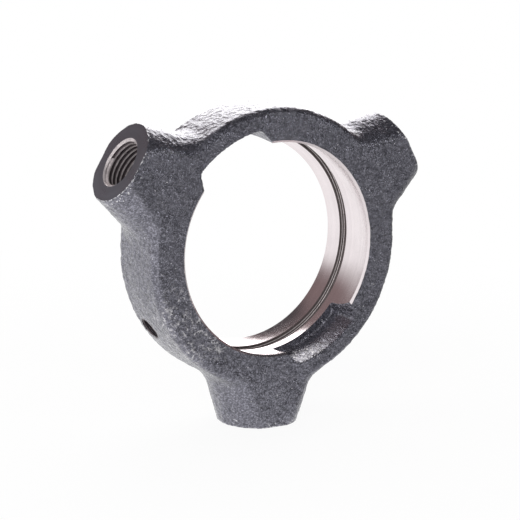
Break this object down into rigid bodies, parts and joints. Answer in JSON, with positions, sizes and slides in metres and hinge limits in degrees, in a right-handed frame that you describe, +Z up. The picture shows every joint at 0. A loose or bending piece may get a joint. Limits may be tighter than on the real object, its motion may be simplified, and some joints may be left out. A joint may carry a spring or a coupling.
{
  "type": "bearing housing",
  "caption": "Cast ring housing for a self-aligning insert bearing, with a spherical seat, loading slots, a grease port and tapped arms.",
  "frame": {"origin": "centre of the spherical bearing seat", "axes": "+Y along the bearing axis, away from the face with the loading slots; +Z up, with one arm pointing straight down along -Z"},
  "size_m": [0.114, 0.025, 0.1034],
  "materials": {
    "housing": "dark sand-cast skin, with the seat, the arm ends and the threads machined bright"
  },
  "bodies": {
    "root": {"housing": "housing"}
  },
  "joints": []
}
